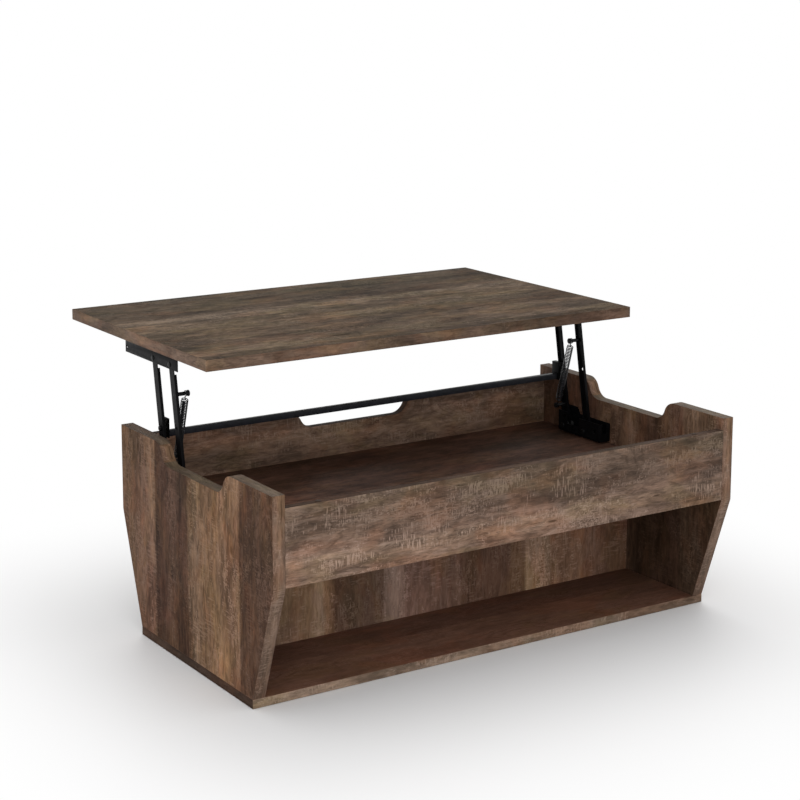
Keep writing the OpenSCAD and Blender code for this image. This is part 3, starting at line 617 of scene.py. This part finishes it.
def scatterTree():
    tree = bpy.data.node_groups.new("scatterFasteners", "GeometryNodeTree")
    for name, kind, io in (("Geometry", "Geometry", "INPUT"), ("Template", "Object", "INPUT"),
                           ("Size", "Float", "INPUT"), ("Turn", "Float", "INPUT"),
                           ("Finish", "Material", "INPUT"), ("Geometry", "Geometry", "OUTPUT")):
        tree.interface.new_socket(name, in_out=io, socket_type="NodeSocket" + kind)
    start = put(tree, "NodeGroupInput").outputs
    aim = put(tree, "GeometryNodeInputNamedAttribute", {"Name": "aim"}, data_type="FLOAT_VECTOR").outputs[0]
    heading = put(tree, "FunctionNodeAlignRotationToVector", {"Vector": aim}, axis="Z").outputs[0]
    spin = put(tree, "FunctionNodeRandomValue", {2: 0.0, 3: start["Turn"], "Seed": 4},
               data_type="FLOAT").outputs[1]
    twist = put(tree, "FunctionNodeAxisAngleToRotation", {"Axis": (0, 0, 1), "Angle": spin}).outputs[0]
    turned = put(tree, "FunctionNodeRotateRotation", {0: heading, 1: twist},
                 rotation_space="LOCAL").outputs[0]
    shape = put(tree, "GeometryNodeObjectInfo", {"Object": start["Template"]}, transform_space="ORIGINAL")
    spread = put(tree, "GeometryNodeInstanceOnPoints",
                 {"Points": start["Geometry"], "Instance": shape.outputs["Geometry"], "Rotation": turned,
                  "Scale": start["Size"]}).outputs[0]
    solid = put(tree, "GeometryNodeRealizeInstances", {0: spread}).outputs[0]
    finished = put(tree, "GeometryNodeSetMaterial", {"Geometry": solid, "Material": start["Finish"]})
    put(tree, "NodeGroupOutput", {0: finished.outputs[0]})
    return tree


def setInputs(step, tree, values):
    for item in tree.interface.items_tree:
        if item.item_type == "SOCKET" and item.in_out == "INPUT" and item.name in values:
            step[item.identifier] = values[item.name]


def bake(obj):
    # the evaluated result becomes the plain mesh, and the modifier goes
    done = bpy.data.meshes.new_from_object(obj.evaluated_get(bpy.context.evaluated_depsgraph_get()))
    obj.modifiers.clear()
    obj.data = done
    return obj


scatter = scatterTree()


def scatterPiece(name, template, spots, shafts, body, node, turn=0.0):
    # spots are (place, aim) of each head; shafts are (profile, start, axis) of each turned shaft
    mesh = bpy.data.meshes.new(name)
    mesh.from_pydata([s[0] for s in spots], [], [])
    aim = mesh.attributes.new("aim", "FLOAT_VECTOR", "POINT")
    for i, s in enumerate(spots):
        aim.data[i].vector = s[1]
    piece = bpy.data.objects.new(name, mesh)
    bpy.context.scene.collection.objects.link(piece)
    step = piece.modifiers.new("scatter", "NODES")
    step.node_group = scatter
    setInputs(step, scatter, {"Template": template, "Size": 1.0, "Turn": turn, "Finish": oxideBlack})
    bake(piece)
    bm = bmesh.new()
    bm.from_mesh(piece.data)
    for f in bm.faces:
        f.material_index = 0
    for profile, start, axis in shafts:
        lathe(bm, profile, start, axis, 24)
    bpy.data.objects.remove(piece)
    return finishPiece(bm, name, body, [oxideBlack], [node], 35)


frontLow = Vector(joints["front_arms_hinge"]["pos_m"])
rearLow = Vector(joints["rear_arms_hinge"]["pos_m"])
frontHigh = Vector(joints["lid_hinge"]["pos_m"])
rearHigh = frontHigh + (rearLow - frontLow)

panHead = screwHead(0.004, 0.0024)
rivetHead = screwHead(0.006, 0.0025, recess=False)
smallRivet = screwHead(0.0055, 0.002, recess=False)
woodScrew = {"radius": 0.0019, "shank": 0.012, "point": 0.016}
screwShaft = [(0, 0), (0, woodScrew["radius"]), (woodScrew["shank"], woodScrew["radius"]),
              (woodScrew["point"], 0)]

# spots are along and up from the front arm's lower pivot
bracketScrews = {"steel": 0.002, "spots": ((-0.0385, 0.008), (0.0355, -0.003), (0.0635, 0.022))}
spots, shafts = [], []
for side in (-1, 1):
    for dy, dz in bracketScrews["spots"]:
        face = Vector((side * (innerX - bracketScrews["steel"]), frontLow.y + dy, frontLow.z + dz))
        spots.append((face, (-side, 0, 0)))
        shafts.append((screwShaft, face, (side, 0, 0)))
scatterPiece("baseBracketScrews", panHead, spots, shafts, "cabinet", "base_bracket_screws", math.pi)

lidScrews = {"steel": 0.002, "inset": 0.024, "along": (0.016, 0.092, 0.210)}
spots, shafts = [], []
bracketLow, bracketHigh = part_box("lid_bracket_right")
for side in (-1, 1):
    for dy in lidScrews["along"]:
        face = Vector((side * (innerX - lidScrews["inset"]), bracketLow.y + dy,
                       bracketHigh.z - lidScrews["steel"]))
        spots.append((face, (0, 0, -1)))
        shafts.append((screwShaft, face, (0, 0, 1)))
scatterPiece("lidBracketScrews", panHead, spots, shafts, "lid", "lid_bracket_screws", math.pi)

# wall, flange and tail are depths from the end panel's inner face
rivets = {"radius": 0.003, "wall": 0.028, "flange": 0.009, "tail": 0.0143}


def rivetShaft(long):
    return [(0, 0), (0, rivets["radius"]), (long, rivets["radius"]), (long, 0)]


spots, shafts = [], []
for side in (-1, 1):
    for pivot in (frontLow, rearLow):
        face = Vector((side * (innerX - rivets["wall"]), pivot.y, pivot.z))
        spots.append((face, (-side, 0, 0)))
        shafts.append((rivetShaft(rivets["wall"]), face, (side, 0, 0)))
scatterPiece("lowerPivotRivets", rivetHead, spots, shafts, "cabinet", "lower_pivot_rivets")

spots, shafts = [], []
for side in (-1, 1):
    for pivot in (frontHigh, rearHigh):
        face = Vector((side * (innerX - rivets["flange"]), pivot.y, pivot.z))
        tail = Vector((side * (innerX - rivets["tail"]), pivot.y, pivot.z))
        spots += [(face, (side, 0, 0)), (tail, (-side, 0, 0))]
        shafts.append((rivetShaft(rivets["tail"] - rivets["flange"]), face, (-side, 0, 0)))
scatterPiece("upperPivotRivets", smallRivet, spots, shafts, "lid", "upper_pivot_rivets")
for template in (panHead, rivetHead, smallRivet):
    bpy.data.objects.remove(template)
print("fasteners made")

# springs: a coil swept by geometry nodes, with a hook at each end
springs = {"coilRadius": 0.0065, "wire": 0.001, "turns": 39, "stepsATurn": 26, "inset": 0.037,
           "endRadius": 0.15, "endTurns": 0.8, "neck": 0.0110, "hook": 0.005, "hookSweep": 300,
           "hookSteps": 22}


def coilTree():
    tree = bpy.data.node_groups.new("springCoil", "GeometryNodeTree")
    for name, kind, io in (("Geometry", "Geometry", "INPUT"), ("Turns", "Float", "INPUT"),
                           ("Coil radius", "Float", "INPUT"), ("Wire radius", "Float", "INPUT"),
                           ("Length", "Float", "INPUT"), ("Points", "Int", "INPUT"),
                           ("Finish", "Material", "INPUT"), ("Geometry", "Geometry", "OUTPUT")):
        tree.interface.new_socket(name, in_out=io, socket_type="NodeSocket" + kind)
    start = put(tree, "NodeGroupInput").outputs
    line = put(tree, "GeometryNodeMeshLine", {"Count": start["Points"], "Offset": (0, 0, 1)},
               mode="OFFSET").outputs[0]
    index = put(tree, "GeometryNodeInputIndex").outputs[0]
    last = calc(tree, "SUBTRACT", start["Points"], 1.0)
    t = calc(tree, "DIVIDE", index, last)
    turn = times(tree, t, start["Turns"])
    angle = times(tree, turn, math.tau)
    # the end turns draw in to meet the hooks
    ends = calc(tree, "MINIMUM", turn, calc(tree, "SUBTRACT", start["Turns"], turn))
    draw = remap(tree, ends, 0.0, springs["endTurns"], springs["endRadius"], 1.0, True)
    radius = times(tree, start["Coil radius"], draw)
    spot = put(tree, "ShaderNodeCombineXYZ", {0: times(tree, calc(tree, "COSINE", angle), radius),
                                              1: times(tree, calc(tree, "SINE", angle), radius),
                                              2: times(tree, t, start["Length"])}).outputs[0]
    bent = put(tree, "GeometryNodeSetPosition", {"Geometry": line, "Position": spot}).outputs[0]
    path = put(tree, "GeometryNodeMeshToCurve", {0: bent}).outputs[0]
    ring = put(tree, "GeometryNodeCurvePrimitiveCircle", {"Resolution": 8, "Radius": start["Wire radius"]},
               mode="RADIUS").outputs[0]
    tube = put(tree, "GeometryNodeCurveToMesh", {"Curve": path, "Profile Curve": ring,
                                                 "Fill Caps": True}).outputs[0]
    solid = put(tree, "GeometryNodeRealizeInstances", {0: tube}).outputs[0]
    finished = put(tree, "GeometryNodeSetMaterial", {"Geometry": solid, "Material": start["Finish"]})
    put(tree, "NodeGroupOutput", {0: finished.outputs[0]})
    return tree


coil = coilTree()


def sweep(bm, points, radius, facets=8):
    # a round wire through the points
    rings = []
    side = Vector((1, 0, 0))
    for i, p in enumerate(points):
        ahead = (points[min(i + 1, len(points) - 1)] - points[max(i - 1, 0)]).normalized()
        side = (side - ahead * side.dot(ahead)).normalized()
        up = ahead.cross(side)
        angles = [math.tau * k / facets for k in range(facets)]
        rings.append([bm.verts.new(p + radius * (math.cos(a) * side + math.sin(a) * up)) for a in angles])
    made = []
    for a, b in zip(rings, rings[1:]):
        for k in range(facets):
            m = (k + 1) % facets
            made.append(bm.faces.new((a[k], a[m], b[m], b[k])))
    made += [bm.faces.new(rings[0]), bm.faces.new(rings[-1])]
    bmesh.ops.recalc_face_normals(bm, faces=made)


def hookPath():
    # from the coil's end down to a ring round the stud
    neck, r = springs["neck"], springs["hook"]
    path = [Vector((springs["coilRadius"] * springs["endRadius"], 0, neck)), Vector((0, 0, neck - 0.0025)),
            Vector((0, 0.0002, r + 0.0018))]
    for i in range(springs["hookSteps"] + 1):
        a = math.radians(15 + springs["hookSweep"] * i / springs["hookSteps"])
        path.append(Vector((0, r * math.sin(a), r * math.cos(a))))
    return path


studPoint = Vector(joints["spring_hinge"]["pos_m"])
springAxis = Vector(joints["spring_stretch"]["axis"])
pinPoint = Vector((0, pinMid[1], pinMid[2]))
springLong = (pinPoint - studPoint).length
coilLong = springLong - 2 * springs["neck"]

for side, word in ((-1, "Left"), (1, "Right")):
    piece = bpy.data.objects.new("coil", bpy.data.meshes.new("coil"))
    bpy.context.scene.collection.objects.link(piece)
    step = piece.modifiers.new("coil", "NODES")
    step.node_group = coil
    setInputs(step, coil, {"Turns": float(springs["turns"]), "Coil radius": springs["coilRadius"],
                           "Wire radius": springs["wire"], "Length": coilLong,
                           "Points": springs["turns"] * springs["stepsATurn"], "Finish": springWire})
    bake(piece)
    bm = bmesh.new()
    bm.from_mesh(piece.data)
    bpy.data.objects.remove(piece)
    bmesh.ops.translate(bm, verts=bm.verts, vec=(0, 0, springs["neck"]))
    sweep(bm, hookPath(), springs["wire"])
    sweep(bm, [Vector((p.x, -p.y, springLong - p.z)) for p in hookPath()], springs["wire"])
    base = Vector((side * (innerX - springs["inset"]), studPoint.y, studPoint.z))
    lean = Matrix.Rotation(math.atan2(-springAxis.y, springAxis.z), 4, "X")
    bmesh.ops.transform(bm, matrix=Matrix.Translation(base) @ lean, verts=bm.verts)
    words = word.lower()
    spring = finishPiece(bm, "spring" + word, None, [springWire], smoothAngle=60)
    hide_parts("spring_" + words, "spring_top_hook_" + words)
    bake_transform(spring)
print("springs made")

# frame nodes that stay as they are, in their own finishes
keptFinishes = {"base_screws": zincPlate, "cam_bolts": zincPlate, "cam_discs": zincPlate,
                "wood_dowels": plainBeech, "lower_pivot_spacers": blackNylon,
                "upper_pivot_washers": blackNylon}
for node, mat in keptFinishes.items():
    for slot in nodes[node].material_slots:
        slot.material = mat

# floor, light and camera
# a matt floor near the table, which takes its shadow, fades into a white glow further out
studio = {"halfFloor": 12, "drop": 0.0008, "footprint": (0.50, 0.28, 0.0), "stretch": (1.4, 1.0, 1.0),
          "fade": 0.75}
floorMat, tree, shader = newMaterial("paleFloor")
spot = put(tree, "ShaderNodeTexCoord").outputs["Object"]
gap = calcVector(tree, "SUBTRACT", calcVector(tree, "ABSOLUTE", spot), studio["footprint"])
gap = calcVector(tree, "MULTIPLY", calcVector(tree, "MAXIMUM", gap), studio["stretch"])
away = put(tree, "ShaderNodeVectorMath", {0: gap}, operation="LENGTH").outputs["Value"]
shader.inputs["Base Color"].default_value = (0.80, 0.80, 0.805, 1)
shader.inputs["Roughness"].default_value = 0.5
shader.inputs["Specular IOR Level"].default_value = 0.3
glow = put(tree, "ShaderNodeEmission", {"Color": (1, 1, 1, 1), "Strength": 1.0})
fade = remap(tree, away, 0.0, studio["fade"], 0, 1, True)
both = put(tree, "ShaderNodeMixShader", {0: fade, 1: shader.outputs[0], 2: glow.outputs[0]})
tree.links.new(both.outputs[0], tree.nodes["Material Output"].inputs["Surface"])
mesh = bpy.data.meshes.new("studioFloor")
half = studio["halfFloor"]
corners = [(-half, -half, 0), (half, -half, 0), (half, half, 0), (-half, half, 0)]
mesh.from_pydata(corners, [], [(0, 1, 2, 3)])
mesh.materials.append(floorMat)
floor = bpy.data.objects.new("studioFloor", mesh)
bpy.context.scene.collection.objects.link(floor)
floor.location.z = -studio["drop"]

world = bpy.data.worlds.new("studioWorld")
bpy.context.scene.world = world
world.use_nodes = True
world.node_tree.nodes["Background"].inputs["Color"].default_value = (1, 1, 1, 1)
world.node_tree.nodes["Background"].inputs["Strength"].default_value = 1.0


def softbox(name, place, target, size, power):
    lamp = bpy.data.lights.new(name, "AREA")
    lamp.shape = "RECTANGLE"
    lamp.size, lamp.size_y = size
    lamp.energy = power
    lamp.color = (1.0, 0.98, 0.96)
    obj = bpy.data.objects.new(name, lamp)
    obj.location = place
    obj.rotation_euler = (Vector(target) - Vector(place)).to_track_quat("-Z", "Y").to_euler()
    bpy.context.scene.collection.objects.link(obj)
    return obj


softbox("backSoftbox", (1.30, 2.10, 2.60), (0, 0.1, 0.2), (2.2, 2.2), 16)
softbox("frontSoftbox", (-1.6, -2.8, 1.9), (0, 0, 0.3), (1.8, 1.6), 24)

shot = {"place": (-2.0502, -3.0325, 1.3152), "yaw": 0.5781, "pitch": 0.1700, "roll": 0.0025,
        "lens": 85.87, "sensor": 36.0, "shiftY": -0.15}
camera = bpy.data.cameras.new("camera")
camera.lens = shot["lens"]
camera.sensor_width = shot["sensor"]
camera.shift_y = shot["shiftY"]
camera.clip_start, camera.clip_end = 0.05, 60
level = Vector((math.sin(shot["yaw"]), math.cos(shot["yaw"]), 0))
ahead = level * math.cos(shot["pitch"]) - Vector((0, 0, math.sin(shot["pitch"])))
right = Vector((math.cos(shot["yaw"]), -math.sin(shot["yaw"]), 0))
up = right.cross(ahead)
rightTilted = right * math.cos(shot["roll"]) + up * math.sin(shot["roll"])
upTilted = -right * math.sin(shot["roll"]) + up * math.cos(shot["roll"])
cameraObj = bpy.data.objects.new("camera", camera)
cameraObj.matrix_world = Matrix.Translation(shot["place"]) @ Matrix(
    (rightTilted, upTilted, -ahead)).transposed().to_4x4()
bpy.context.scene.collection.objects.link(cameraObj)
bpy.context.scene.camera = cameraObj
bpy.context.scene.view_settings.view_transform = "Standard"
print("stage set")
